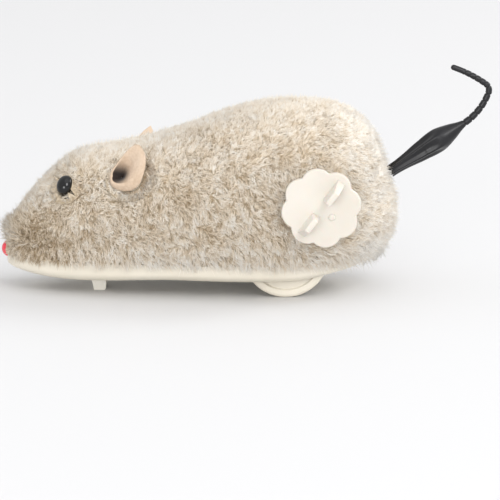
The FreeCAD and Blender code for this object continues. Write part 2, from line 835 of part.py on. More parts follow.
def crown_tooth(angle):
    """A radial tooth on the crown wheel's face, which narrows towards its tip."""
    slope = math.tan(math.radians(CROWN_FLANK_ANGLE))
    pitch_y = -pitch_radius(TAIL_PINION_TEETH)
    root_half = CROWN_TOOTH_T / 2 + (pitch_y - CROWN_ROOT_Y + 0.1) * slope
    tip_half = CROWN_TOOTH_T / 2 - (CROWN_TIP_Y - pitch_y) * slope
    profile = (
        Vector(CROWN_RADII[0], CROWN_ROOT_Y - 0.1, -root_half),
        Vector(CROWN_RADII[0], CROWN_ROOT_Y - 0.1, root_half),
        Vector(CROWN_RADII[0], CROWN_TIP_Y, tip_half),
        Vector(CROWN_RADII[0], CROWN_TIP_Y, -tip_half),
    )
    face = Part.Face(Part.makePolygon(profile + profile[:1]))
    tooth = face.extrude(X_AXIS * (CROWN_RADII[1] - CROWN_RADII[0]))
    tooth.rotate(Vector(), Y_AXIS, -angle)
    tooth.translate(COUNTER)
    return tooth


def crown_wheel():
    """A disc whose teeth stand on its face and drive the tail pinion at a right angle."""
    crown = rod_y(CROWN_RADII[1], COUNTER, CROWN_ROOT_Y - CROWN_DISC_T, CROWN_ROOT_Y)
    crown = crown.fuse(rod_y(1.8, COUNTER, CROWN_ROOT_Y - CROWN_DISC_T - 0.8, CROWN_ROOT_Y))
    for tooth in range(CROWN_TEETH):
        crown = crown.fuse(crown_tooth(TAIL_ANGLE + tooth * 360 / CROWN_TEETH))
    return crown.cut(tail_countershaft())


def tail_spindle():
    return rod(SPINDLE_R, on_tail_axis(SPINDLE_S[0]), on_tail_axis(SPINDLE_S[1]))


def tail_pinion():
    """The spur pinion on the spindle, with a gap between teeth facing the crown wheel."""
    face_width = TAIL_PINION_S[1] - TAIL_PINION_S[0]
    gear = spur_gear(TAIL_PINION_TEETH, 180 / TAIL_PINION_TEETH, Vector(), 0, face_width, SPINDLE_R)
    towards_crown = Y_AXIS * -1
    turn = Rotation(towards_crown, TAIL_AXIS, towards_crown.cross(TAIL_AXIS), "ZXY")
    gear.Placement = Placement(on_tail_axis(TAIL_PINION_S[0]), turn)
    hub = rod(1.4, on_tail_axis(TAIL_PINION_S[1]), on_tail_axis(TAIL_PINION_S[1] + 0.8))
    return gear.fuse(hub.cut(tail_spindle()))


def tail_bush():
    tube = rod(BUSH_R, on_tail_axis(BUSH_START_S), on_tail_axis(BUSH_END_S))
    return tube.cut(rod(SPINDLE_R + RUNNING, on_tail_axis(0), on_tail_axis(ROOT_S)))


def tail_bulb():
    curve = Part.BSplineCurve()
    curve.interpolate([Vector(radius, 0, distance) for distance, radius in BULB])
    length = BULB[-1][0]
    edges = [
        Part.makeLine(Vector(), Vector(BULB[0][1], 0, 0)),
        curve.toShape(),
        Part.makeLine(Vector(BULB[-1][1], 0, length), Vector(0, 0, length)),
        Part.makeLine(Vector(0, 0, length), Vector()),
    ]
    bulb = Part.Face(Part.Wire(edges)).revolve(Vector(), Z_AXIS, 360)
    bulb.Placement = Placement(TAIL_ROOT, Rotation(Z_AXIS, TAIL_AXIS))
    return bulb


def whip_path():
    """Tangent arcs in the XZ plane, each turning the tail upwards and back over the body."""
    at = TAIL_ROOT + TAIL_AXIS * (BULB[-1][0] - 0.5)
    heading = TAIL_ANGLE
    edges = [Part.makeLine(at, at + TAIL_AXIS * 0.5)]
    at = at + TAIL_AXIS * 0.5
    for radius, turn in WHIP_BENDS:
        centre = at + polar(radius, heading + 90)
        middle = centre + polar(radius, heading - 90 + turn / 2)
        end = centre + polar(radius, heading - 90 + turn)
        edges.append(Part.Arc(at, middle, end).toShape())
        heading = heading + turn
        at = end
    return Part.Wire(edges), at


def tail():
    """The rubber tail: a hollow-rooted bulb and a bent whip with a round tip."""
    path, tip = whip_path()
    start = path.Vertexes[0].Point
    ring = Part.Wire(Part.makeCircle(WHIP_R, start, TAIL_AXIS))
    whip = path.makePipeShell([ring], True, False)
    return tail_bulb().fuse([whip, Part.makeSphere(WHIP_R, tip)]).cut(tail_spindle())


# ---------------------------------------------------------------- assembly

def covers():
    outer = body_form(0)
    form = pan_form(0)
    left_eye, eye_pocket = eye(outer)
    left_ear, ear_pocket = ear()
    nose_tip, nose_pocket = nose()
    pockets = [eye_pocket, mirrored(eye_pocket), ear_pocket, mirrored(ear_pocket), nose_pocket]
    pan = belly_pan(form)
    return {
        "plush_cover": plush_cover(outer, pockets),
        "body_shell": body_shell(pockets),
        "belly_pan": pan,
        "front_foot": front_foot(pan),
        "nose_tip": nose_tip.cut(form),
        "eye_left": left_eye,
        "eye_right": mirrored(left_eye),
        "ear_left": left_ear,
        "ear_right": mirrored(left_ear),
        "case_screws": case_screws(form),
        "gearbox_screws": gearbox_screws(form),
    }


def movement():
    left_wheel = wheel_left()
    return {
        "gearbox_plate_left": gearbox_plate(-1),
        "gearbox_plate_right": gearbox_plate(1),
        "upper_pillars": upper_pillars(),
        "lower_pillars": lower_pillars(),
        "mainspring": mainspring(),
        "winding_arbor": winding_arbor(),
        "winding_knob": winding_knob(),
        "ratchet_wheel": ratchet_wheel(),
        "great_wheel": great_wheel(),
        "click": click(),
        "click_spring": click_spring(),
        "intermediate_arbor": intermediate_arbor(),
        "intermediate_pinion": intermediate_pinion(),
        "intermediate_wheel": intermediate_wheel(),
        "drive_axle": drive_axle(),
        "axle_pinion": axle_pinion(),
        "wheel_left": left_wheel,
        "wheel_right": mirrored(left_wheel),
        "tail_countershaft": tail_countershaft(),
        "countershaft_pinion": countershaft_pinion(),
        "crown_wheel": crown_wheel(),
        "tail_spindle": tail_spindle(),
        "tail_pinion": tail_pinion(),
        "tail_bush": tail_bush(),
        "tail": tail(),
    }


os.makedirs("parts", exist_ok=True)
for name, shape in {**covers(), **movement()}.items():
    shape.exportStep("parts/%s.step" % name)
    print(name, "valid" if shape.isValid() else "INVALID", len(shape.Solids), round(shape.Volume, 2))
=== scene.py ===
"""Looks of a plush clockwork mouse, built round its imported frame.

Row frame: nose towards -X, tail towards +X, the knob's side is -Y, and the floor is z = 0.
Blender works in metres. Sizes here are written in millimetres and multiplied by MM.
"""
import math
import bmesh
import bpy
import numpy as np
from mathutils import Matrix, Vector, noise
from mathutils.bvhtree import BVHTree
from mathutils.kdtree import KDTree


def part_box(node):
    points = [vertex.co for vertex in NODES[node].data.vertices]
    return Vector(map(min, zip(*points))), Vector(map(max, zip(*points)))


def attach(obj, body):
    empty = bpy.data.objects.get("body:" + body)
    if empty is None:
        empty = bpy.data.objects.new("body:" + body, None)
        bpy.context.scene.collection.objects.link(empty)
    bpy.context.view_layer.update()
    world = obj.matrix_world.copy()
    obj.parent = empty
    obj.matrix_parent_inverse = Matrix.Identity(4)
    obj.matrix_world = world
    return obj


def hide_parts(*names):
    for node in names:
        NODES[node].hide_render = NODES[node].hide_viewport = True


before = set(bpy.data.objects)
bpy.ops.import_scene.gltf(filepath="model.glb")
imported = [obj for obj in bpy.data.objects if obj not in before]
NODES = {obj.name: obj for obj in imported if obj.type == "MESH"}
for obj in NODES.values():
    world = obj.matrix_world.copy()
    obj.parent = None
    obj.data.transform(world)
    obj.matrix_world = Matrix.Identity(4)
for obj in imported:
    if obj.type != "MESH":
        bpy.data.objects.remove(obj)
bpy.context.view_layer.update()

MM = 0.001
CASE_SPLIT_Z = 9.6  # the plush ends here, on the edge of the pan

# Camera: where it looks, and from how far
LOOK_AT = (-9.9, 0.0, 10.3)
CAMERA_AZIMUTH = 0.0
CAMERA_ELEVATION = 11.0
CAMERA_DISTANCE = 1000.0
VIEW_WIDTH = 140.0
SENSOR_WIDTH = 36.0

# Pile of the plush
PILE_SEED = 20
STRANDS = 140000
CLUMPS = 24000
PILE_PIECES = ("muzzle", "cheeks", "neck", "shoulders", "flanks", "loins", "haunches", "rump")
ROOT_DEPTH = 2.6  # the roots lie this far under the plush's outer surface
PILE_LENGTH = 2.75
LENGTH_SPREAD = (0.72, 1.12)
STRAND_RADIUS = 0.085
STRAND_SIDES = 3
FIBRE_SOFTNESS = 0.6  # 0 shades a strand as a rod, 1 as the surface it grows from
CLUMP_LIFT = (32, 66)  # degrees above the surface
CLUMP_SPREAD = 0.33  # how far the clumps stray from the combed direction
STRAND_SPREAD = 0.22  # how far the strands stray from their clump
CLUMP_PULL = (0.1, 0.55)  # share of the way that a tip is drawn to its clump's tip
STRAY_SHARE = 0.14
STRAY_LENGTH = 1.3
STRAY_PULL = 0.05
KNOB_SHADOW_R = 12.4  # the pile is pressed down this far from the winding axis
KNOB_SHADOW_Y = -28.3

# Places on the body
NOSE_AT = Vector((-77.0, 0.0, 10.9))
EAR_AT = Vector((-42.4, -18.8, 36.1))
EAR_FACINGS = {  # (which way the opening looks, which way the ear stands up)
    -1: (Vector((-0.5, -0.84, 0.2)).normalized(), Vector((0.3, -0.2, 0.93))),
    1: (Vector((-0.7, 0.22, 0.68)).normalized(), Vector((0.7, 0.15, 0.7))),
}
WINDING_AT = Vector((9.4, 0.0, 27.7))
TAIL_ROOT = Vector((29.5, 0.0, 32.9))
TAIL_ANGLE = 33.5
SPINE_SPAN = (-60.0, 15.0)  # the body's middle line, from the chest to the rump
SPINE_Z = 16.0


# ---------------------------------------------------------------- small helpers

def srgb(red, green, blue):
    """A colour as painters give it, 0 to 255, turned into linear light."""
    def linear(value):
        value = value / 255
        return value / 12.92 if value <= 0.04045 else ((value + 0.055) / 1.055) ** 2.4
    return (linear(red), linear(green), linear(blue), 1.0)


def along(angle):
    """Unit vector in the XZ plane, angle in degrees above +X."""
    return Vector((math.cos(math.radians(angle)), 0, math.sin(math.radians(angle))))


def smoothstep(value):
    value = np.clip(value, 0, 1)
    return value * value * (3 - 2 * value)


def fade(values, start, end):
    """0 up to start, 1 from end on, and smooth between them. End may be the lower one."""
    return smoothstep((values - start) / (end - start))


def on_spline(before, start, end, after, share):
    """The place a share of the way from start to end, on a Catmull-Rom curve."""
    return 0.5 * (
        2 * start + (end - before) * share
        + (2 * before - 5 * start + 4 * end - after) * share ** 2
        + (3 * start - before - 3 * end + after) * share ** 3
    )


def prism_faces(count):
    """Faces of a closed solid whose first count vertices are one end, and the rest the other."""
    faces = [tuple(range(count)), tuple(reversed(range(count, 2 * count)))]
    for index in range(count):
        after = (index + 1) % count
        faces.append((index, index + count, after + count, after))
    return faces


def new_piece(name, vertices, faces, material, body):
    """A mesh object in the row frame, on its body. Vertices are in millimetres."""
    mesh = bpy.data.meshes.new(name)
    mesh.from_pydata([Vector(v) * MM for v in vertices], [], faces)
    mesh.validate()
    mesh.polygons.foreach_set("use_smooth", [True] * len(mesh.polygons))
    mesh.materials.append(material)
    piece = bpy.data.objects.new(name, mesh)
    bpy.context.scene.collection.objects.link(piece)
    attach(piece, body)
    return piece


# ---------------------------------------------------------------- materials

MIX_COLOUR_A, MIX_COLOUR_B, MIX_COLOUR_OUT = 6, 7, 2  # a Mix node's sockets for colours


def new_material(name, colour, roughness, **sockets):
    material = bpy.data.materials.new(name)
    material.use_nodes = True
    shader = material.node_tree.nodes["Principled BSDF"]
    shader.inputs["Base Color"].default_value = colour
    shader.inputs["Roughness"].default_value = roughness
    for socket, value in sockets.items():
        shader.inputs[socket.replace("_", " ")].default_value = value
    return material


def add_node(material, kind, **inputs):
    node = material.node_tree.nodes.new(kind)
    for socket, value in inputs.items():
        node.inputs[socket.replace("_", " ")].default_value = value
    return node


def link(material, start, end):
    material.node_tree.links.new(start, end)


def place_texture(material, scale=(1, 1, 1)):
    """Coordinates in the row frame, which a piece's mesh is in."""
    coordinates = add_node(material, "ShaderNodeTexCoord")
    mapping = add_node(material, "ShaderNodeMapping", Scale=scale)
    link(material, coordinates.outputs["Object"], mapping.inputs["Vector"])
    return mapping.outputs["Vector"]


def noise_node(material, feature, detail=4.0, stretch=(1, 1, 1)):
    """Noise whose spots are about feature millimetres across."""
    texture = add_node(
        material, "ShaderNodeTexNoise", Scale=0.5 / (feature * MM), Detail=detail
    )
    link(material, place_texture(material, stretch), texture.inputs["Vector"])
    return texture.outputs["Fac"]


def colours_from(material, factor, *stops):
    """Colours spread over factor: each stop is (position, colour)."""
    ramp = add_node(material, "ShaderNodeValToRGB")
    elements = ramp.color_ramp.elements
    while len(elements) < len(stops):
        elements.new(0.5)
    for element, (position, colour) in zip(elements, stops):
        element.position = position
        element.color = colour
    link(material, factor, ramp.inputs["Fac"])
    return ramp.outputs["Color"]


def range_from(material, factor, low, high):
    spread = add_node(material, "ShaderNodeMapRange", To_Min=low, To_Max=high)
    link(material, factor, spread.inputs["Value"])
    return spread.outputs["Result"]


def bumped(material, height, distance, strength=1.0):
    """Bumps of height, distance millimetres deep."""
    bump = add_node(material, "ShaderNodeBump", Strength=strength, Distance=distance * MM)
    link(material, height, bump.inputs["Height"])
    link(material, bump.outputs["Normal"], shader_of(material).inputs["Normal"])


def shader_of(material):
    return material.node_tree.nodes["Principled BSDF"]


def paint(material, colour):
    link(material, colour, shader_of(material).inputs["Base Color"])


def dull(material, roughness):
    link(material, roughness, shader_of(material).inputs["Roughness"])


def moulded_plastic(name, light, shade, roughness, **sockets):
    """Injection-moulded plastic: faint mottling, a fine matt grain and uneven gloss."""
    material = new_material(name, light, roughness, **sockets)
    cloud = noise_node(material, 9.0, 3.0)
    paint(material, colours_from(material, cloud, (0.3, shade), (0.65, light)))
    handled = noise_node(material, 2.4, 5.0)
    dull(material, range_from(material, handled, roughness - 0.08, roughness + 0.1))
    bumped(material, noise_node(material, 0.35, 2.0), 0.02, 0.5)
    return material


def metal(name, light, shade, roughness, stretch):
    """Bare metal with fine tool marks along one direction."""
    material = new_material(name, light, roughness, Metallic=1.0)
    marks = noise_node(material, 0.4, 6.0, stretch)
    paint(material, colours_from(material, marks, (0.3, shade), (0.7, light)))
    dull(material, range_from(material, marks, roughness - 0.1, roughness + 0.15))
    bumped(material, marks, 0.01, 0.6)
    return material


def felt_material():
    """Pressed felt: a mat of short fibres, with painted shade darkening the hollow of the ear."""
    light = srgb(208, 186, 163)
    material = new_material("pressed_felt", light, 0.95, Sheen_Weight=0.12, Sheen_Roughness=0.6)
    fibres = noise_node(material, 0.35, 6.0)
    cloud = noise_node(material, 2.6, 3.0)
    mixed = add_node(material, "ShaderNodeMath")
    mixed.operation = "MULTIPLY_ADD"
    link(material, fibres, mixed.inputs[0])
    mixed.inputs[1].default_value = 0.5
    halved = range_from(material, cloud, 0.0, 0.5)
    link(material, halved, mixed.inputs[2])
    tones = colours_from(
        material, mixed.outputs[0],
        (0.25, srgb(188, 162, 135)), (0.5, srgb(208, 185, 161)), (0.75, srgb(221, 201, 180)),
    )
    # painted shade: the felt turns dark brown towards the bottom of the ear's hollow
    depth = add_node(material, "ShaderNodeAttribute")
    depth.attribute_name = "hollow"
    shade = add_node(material, "ShaderNodeMix")
    shade.data_type = "RGBA"
    link(material, depth.outputs["Fac"], shade.inputs["Factor"])
    link(material, tones, shade.inputs[MIX_COLOUR_A])
    shade.inputs[MIX_COLOUR_B].default_value = srgb(42, 26, 17)
    paint(material, shade.outputs[MIX_COLOUR_OUT])
    bumped(material, fibres, 0.12, 0.8)
    return material


def backing_material():
    """Knitted backing of the plush: small uneven loops, seen only between the strands."""
    pale = srgb(212, 198, 176)
    material = new_material("plush_backing", pale, 0.95, Sheen_Weight=0.2)
    loops = noise_node(material, 0.5, 3.0, (1, 1, 1.6))
    paint(material, colours_from(material, loops, (0.3, srgb(172, 153, 126)), (0.7, pale)))
    bumped(material, loops, 0.25, 0.8)
    return material


ROOT_DARKER = 1.5  # steps of PILE_TONES between a strand's tip and its root
PILE_TONES = (
    (176, 152, 120),
    (202, 181, 151),
    (220, 202, 176),
    (234, 219, 197),
    (244, 232, 214),
    (250, 241, 227),
    (253, 248, 239),
)


def pile_materials():
    """One fibre material for each tone of the pile, dark to pale."""
    materials = []
    for tone, colour in enumerate(PILE_TONES):
        material = new_material(
            "pile_fibre_%d" % tone, srgb(*colour), 0.62,
            Sheen_Weight=0.25, Sheen_Roughness=0.5, Specular_IOR_Level=0.25,
        )
        materials.append(material)
    return materials


def rubber_material():
    light = srgb(26, 26, 30)
    material = new_material("black_rubber", light, 0.3, Specular_IOR_Level=0.42)
    cloud = noise_node(material, 3.0, 5.0)
    paint(material, colours_from(material, cloud, (0.3, srgb(10, 10, 12)), (0.7, light)))
    dull(material, range_from(material, cloud, 0.24, 0.42))
    bumped(material, noise_node(material, 0.5, 5.0), 0.03, 0.5)
    return material


def bead_material():
    """Glossy black bead, with the faint orange peel of a dipped finish."""
    material = new_material("eye_bead", srgb(6, 6, 8), 0.06, Specular_IOR_Level=0.5)
    cloud = noise_node(material, 1.2, 3.0)
    paint(material, colours_from(material, cloud, (0.3, srgb(3, 3, 4)), (0.7, srgb(9, 9, 12))))
    dull(material, range_from(material, cloud, 0.03, 0.1))
    bumped(material, noise_node(material, 0.9, 1.0), 0.02, 0.3)
    return material


def nose_material():
    material = new_material("nose_plastic", srgb(236, 40, 62), 0.25, Coat_Weight=0.4)
    cloud = noise_node(material, 1.5, 3.0)
    paint(material, colours_from(material, cloud, (0.3, srgb(214, 22, 44)), (0.7, srgb(246, 58, 80))))
    dull(material, range_from(material, cloud, 0.2, 0.34))
    bumped(material, noise_node(material, 0.6, 2.0), 0.02, 0.4)
    return material


FELT = felt_material()
RUBBER = rubber_material()
KNOB_PLASTIC = moulded_plastic(
    "knob_plastic", srgb(219, 213, 203), srgb(212, 205, 194), 0.4, Subsurface_Weight=0.15,
    Subsurface_Scale=0.001,
)
LOOKS = {
    "shell": moulded_plastic("shell_plastic", srgb(228, 220, 202), srgb(218, 209, 190), 0.5),
    "pan": moulded_plastic("pan_plastic", srgb(234, 227, 212), srgb(227, 219, 202), 0.42),
    # the foot's plastic is paler than the pan's: partly its own colour, partly painted light making
    # up for the shade of the body above it
    "foot": moulded_plastic("foot_plastic", srgb(250, 246, 236), srgb(245, 240, 228), 0.42),
    "wheel": moulded_plastic("wheel_plastic", srgb(234, 227, 212), srgb(227, 219, 202), 0.4),
    "gear": moulded_plastic("gear_plastic", srgb(244, 242, 234), srgb(236, 233, 222), 0.38),
    "nose": nose_material(),
    "eye": bead_material(),
    "steel": metal("zinc_plated_steel", srgb(205, 205, 202), srgb(168, 170, 172), 0.34, (1, 6, 1)),
    "spring": metal("blued_steel", srgb(104, 110, 130), srgb(66, 70, 88), 0.3, (1, 8, 1)),
    "brass": metal("drawn_brass", srgb(222, 190, 120), srgb(186, 150, 84), 0.28, (1, 5, 1)),
}
NODE_LOOKS = {
    "shell": ["body_shell"],
    "pan": ["belly_pan"],
    "foot": ["front_foot"],
    "wheel": ["wheel_left", "wheel_right"],
    "gear": [
        "great_wheel", "intermediate_pinion", "intermediate_wheel", "axle_pinion",
        "countershaft_pinion", "crown_wheel", "tail_pinion", "tail_bush",
    ],
    "nose": ["nose_tip"],
    "eye": ["eye_left", "eye_right"],
    "steel": [
        "case_screws", "gearbox_screws", "gearbox_plate_left", "gearbox_plate_right",
        "upper_pillars", "lower_pillars", "winding_arbor", "ratchet_wheel", "click",
        "drive_axle", "tail_spindle",
    ],
    "spring": ["mainspring", "click_spring"],
    "brass": ["intermediate_arbor", "tail_countershaft"],
}


def finish_cad_nodes():
    """The CAD pieces whose shape stays get their detailed materials."""
    for look, names in NODE_LOOKS.items():
        for name in names:
            for slot in NODES[name].material_slots:
                slot.material = LOOKS[look]


# ---------------------------------------------------------------- plush

def cad_triangles(name):
    """(corner points in millimetres, one row of three per triangle) of a CAD node."""
    mesh = NODES[name].data
    mesh.calc_loop_triangles()
    points = np.empty(len(mesh.vertices) * 3)
    mesh.vertices.foreach_get("co", points)
    corners = np.empty(len(mesh.loop_triangles) * 3, dtype=np.int32)
    mesh.loop_triangles.foreach_get("vertices", corners)
    return points.reshape(-1, 3)[corners.reshape(-1, 3)] / MM


def triangle_normals(triangles):
    """(unit normals, areas)"""
    cross = np.cross(triangles[:, 1] - triangles[:, 0], triangles[:, 2] - triangles[:, 0])
    length = np.linalg.norm(cross, axis=1)
    return cross / np.maximum(length, 1e-12)[:, None], length / 2


def outside(triangles, normals):
    """Which triangles of the plush are its outer surface.

    They face away from the body's middle line, and no other part of the plush is in front of them.
    """
    tree = BVHTree.FromPolygons(
        triangles.reshape(-1, 3).tolist(),
        np.arange(len(triangles) * 3).reshape(-1, 3).tolist(),
    )
    middles = triangles.mean(axis=1)
    spine = np.zeros_like(middles)
    spine[:, 0] = np.clip(middles[:, 0], *SPINE_SPAN)
    spine[:, 2] = SPINE_Z
    outwards = ((middles - spine) * normals).sum(axis=1) > 0
    clear = np.zeros(len(triangles), dtype=bool)
    for index in np.flatnonzero(outwards):
        start = Vector(middles[index] + normals[index] * 0.02)
        clear[index] = tree.ray_cast(start, Vector(normals[index]), 60.0)[0] is None
    level = np.abs(normals[:, 2]) > 0.95
    rim = level & (triangles[:, :, 2].max(axis=1) < CASE_SPLIT_Z + 0.01)
    return clear & ~rim


def plush_backing():
    """The plush's skin: its CAD solid, with the outer surface sunk to where the pile is rooted."""
    triangles = cad_triangles("plush_cover")
    normals, areas = triangle_normals(triangles)
    outer = outside(triangles, normals)
    keys, places = np.unique(
        np.round(triangles.reshape(-1, 3), 4), axis=0, return_inverse=True
    )
    faces = places.reshape(-1, 3)
    push = np.zeros_like(keys)
    for corner in range(3):
        np.add.at(push, faces[outer, corner], (normals * areas[:, None])[outer])
    length = np.linalg.norm(push, axis=1)
    moved = length > 0
    push[moved] /= length[moved, None]
    on_rim = keys[:, 2] < CASE_SPLIT_Z + 0.01
    push[on_rim, 2] = 0
    vertices = keys - push * ROOT_DEPTH
    whole = (faces != np.roll(faces, 1, axis=1)).all(axis=1)
    piece = new_piece(
        "plush_backing", vertices.tolist(), faces[whole].tolist(), backing_material(),
        "body",
    )
    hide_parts("plush_cover")
    return piece


def pile_roots(generator, count):
    """Random points on the plush's outer surface, with their normals."""
    triangles = cad_triangles("plush_cover")
    normals, areas = triangle_normals(triangles)
    outer = outside(triangles, normals)
    triangles, normals, areas = triangles[outer], normals[outer], areas[outer]
    chosen = generator.choice(len(areas), size=count, p=areas / areas.sum())
    across, up = generator.random(count), generator.random(count)
    folded = across + up > 1
    across[folded], up[folded] = 1 - across[folded], 1 - up[folded]
    corner = triangles[chosen]
    points = (
        corner[:, 0]
        + across[:, None] * (corner[:, 1] - corner[:, 0])
        + up[:, None] * (corner[:, 2] - corner[:, 0])
    )
    return points, normals[chosen]


def noise_field(points, feature, seed):
    """A smooth random vector for each point, changing over about feature millimetres."""
    shift = Vector((seed * 13.7, seed * 5.1, -seed * 9.3))
    return np.array([noise.noise_vector(Vector(p) / feature + shift) for p in points])


def unit(vectors):
    return vectors / np.maximum(np.linalg.norm(vectors, axis=1), 1e-9)[:, None]


def comb_direction(points, normals):
    """Which way the pile is combed: back and down along the sides, outwards on the rump."""
    flow = np.tile((0.75, 0.0, -0.35), (len(points), 1))
    x, z = points[:, 0], points[:, 2]
    flow[:, 2] -= 0.9 * fade(z, 16, 8)
    flow[:, 2] += 1.3 * fade(x, -68, -73) * fade(z, 12, 15)
    flow += fade(x, 12, 26)[:, None] * normals * 0.6
    flow += noise_field(points, 9.0, 1) * 0.9 + noise_field(points, 2.6, 2) * 1.2
    flow -= normals * (flow * normals).sum(axis=1)[:, None]
    return unit(flow)


def pile_length(points):
    """Shorter pile on the head and the back, longer on the lower edge and the muzzle's tuft."""
    x, z = points[:, 0], points[:, 2]
    length = np.full(len(points), PILE_LENGTH)
    length *= 1 - 0.2 * fade(x, -56, -66) * fade(z, 16, 20)
    length *= 1 - 0.28 * fade(z, 38, 48)
    length *= 1 + 0.4 * fade(z, 15, 10)
    tuft = fade(z, 12, 15) * fade(z, 22, 18)
    length *= 1 + 0.6 * fade(x, -71, -75) * tuft
    return length


def within(points, centre, radii, axes):
    """Which points lie in an ellipsoid."""
    turn = np.identity(3) if axes is None else np.array([list(a) for a in axes])
    return np.linalg.norm((points - np.array(centre)) @ turn.T / np.array(radii), axis=1) < 1


def ear_axes(side):
    """(across, up, opening) of the ear on that side: -1 is the left. The right ear sits turned."""
    opening, lean = EAR_FACINGS[side]
    up = (lean - opening * lean.dot(opening)).normalized()
    across = up.cross(opening) * -side
    return across, up, opening


def ear_place(side):
    return Vector((EAR_AT.x, -side * EAR_AT.y, EAR_AT.z))


def eye_place(side):
    low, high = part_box("eye_left" if side < 0 else "eye_right")
    return (low + high) / 2 / MM


def open_spots():
    """Ellipsoids (centre, radii, axes) without pile: the nose, eyes, ears, tail and shaft."""
    spots = [(NOSE_AT - Vector((1.0, 0, 0)), (4.2, 3.6, 3.5), None)]
    for side in (-1, 1):
        spots.append((eye_place(side), (2.0, 2.05, 2.05), None))
        across, up, opening = ear_axes(side)
        cup = ear_place(side) - across * 1.0 - up * 0.6 + opening * 0.5
        spots.append((cup, (4.2, 5.8, 4.0), (across, up, opening)))
    tail_axes = (along(TAIL_ANGLE), along(TAIL_ANGLE + 90), Vector((0, 1, 0)))
    spots.append((TAIL_ROOT, (7.2, 2.5, 2.5), tail_axes))
    spots.append((Vector((WINDING_AT.x, KNOB_BACK_Y, WINDING_AT.z)), (3.8, 7.0, 3.8), None))
    return spots


def flatten_under_knob(points):
    """The pile is pressed down behind the knob's disc, so that the knob turns freely."""
    from_axis = np.hypot(points[:, 0] - WINDING_AT.x, points[:, 2] - WINDING_AT.z)
    under = (from_axis < KNOB_SHADOW_R) & (points[:, 1] < KNOB_SHADOW_Y)
    points[under, 1] = KNOB_SHADOW_Y


def nearest_clump(points):
    """For every strand, which clump it belongs to. The first CLUMPS strands lead the clumps."""
    tree = KDTree(CLUMPS)
    for index, point in enumerate(points[:CLUMPS]):
        tree.insert(point, index)
    tree.balance()
    return np.array([tree.find(point)[1] for point in points])


def clump_headings(generator, points, normals):
    """Which way each clump leans: combed along the body, and lifted off it."""
    flow = comb_direction(points, normals)
    flow = unit(flow + generator.normal(0, CLUMP_SPREAD, (CLUMPS, 3)))
    lift = np.radians(generator.uniform(*CLUMP_LIFT, CLUMPS))
    return unit(normals * np.sin(lift)[:, None] + flow * np.cos(lift)[:, None])


def without_pile(*places_of_strands):
    """Which strands have their root, middle or tip in an open spot."""
    bald = np.zeros(len(places_of_strands[0]), dtype=bool)
    for centre, radii, axes in open_spots():
        for places in places_of_strands:
            bald |= within(places, centre, radii, axes)
    return bald


def strand_shapes():
    """(root, middle, tip) of every strand, its surface normal, and its tone."""
    generator = np.random.default_rng(PILE_SEED)
    noise.seed_set(PILE_SEED)  # else noise_vector differs from run to run
    points, normals = pile_roots(generator, STRANDS)
    clump = nearest_clump(points)
    leaning = clump_headings(generator, points[:CLUMPS], normals[:CLUMPS])[clump]
    length = pile_length(points) * generator.uniform(*LENGTH_SPREAD, STRANDS)
    roots = points - normals * ROOT_DEPTH
    clump_roots = roots[clump]
    clump_tips = clump_roots + leaning * pile_length(points)[clump][:, None]

    stray = generator.random(STRANDS) < STRAY_SHARE
    length[stray] *= STRAY_LENGTH
    own = leaning + generator.normal(0, STRAND_SPREAD, (STRANDS, 3))
    own[stray] += normals[stray] * 0.5 + generator.normal(0, 0.3, (STRANDS, 3))[stray]
    own = unit(own)
    rising = unit(own + normals * 0.45)
    falling = unit(own - normals * 0.3)
    middles = roots + rising * (length * 0.52)[:, None]
    tips = middles + falling * (length * 0.5)[:, None]
    pull = generator.uniform(*CLUMP_PULL, STRANDS)[:, None]
    pull[stray] = STRAY_PULL
    tips += (clump_tips - tips) * pull
    middles += ((clump_roots + clump_tips) / 2 - middles) * pull * 0.45

    kept = ~without_pile(points, middles, tips)
    flatten_under_knob(middles)
    flatten_under_knob(tips)
    tone = strand_tones(generator, points, normals, clump)
    return roots[kept], middles[kept], tips[kept], normals[kept], tone[kept]


def strand_tones(generator, points, normals, clump):
    """Places in PILE_TONES: by region, with painted light, in soft patches, and a little different in
    each clump.
    """
    patches = noise_field(points, 6.0, 3)[:, 0] * 1.2 + noise_field(points, 2.0, 4)[:, 0] * 2.0
    clump_tone = generator.normal(0, 0.8, CLUMPS)[clump] + generator.normal(0, 0.6, STRANDS)
    return tone_with_painted_light(points, normals) + (patches + clump_tone) * unevenness(points, normals)


def tone_with_painted_light(points, normals):
    """Paler where the pile faces up, on the rump and on the lower edge, all painted light; darker on
    the muzzle, the pile's own tone.
    """
    x, z = points[:, 0], points[:, 2]
    # painted top light: pile that faces up is paler
    tone = 3.9 + 0.6 * smoothstep(normals[:, 2] * 1.4)
    # painted light from behind: the rump is paler
    tone += 1.3 * fade(x, 10, 26)
    # painted fill light: the lower edge, which the body keeps in shade, is paler
    tone += 1.3 * fade(z, 19, 11) * fade(x, -52, -40)
    # the muzzle's own darker tone
    tone -= 1.3 * fade(x, -56, -68) * fade(z, 27, 19)
    return tone


def unevenness(points, normals):
    """How strongly the tones vary: most on the flanks, least on the back and rump."""
    even = np.maximum(smoothstep(normals[:, 2] * 1.2), fade(points[:, 0], 12, 26))
    return 1.1 - 0.42 * even


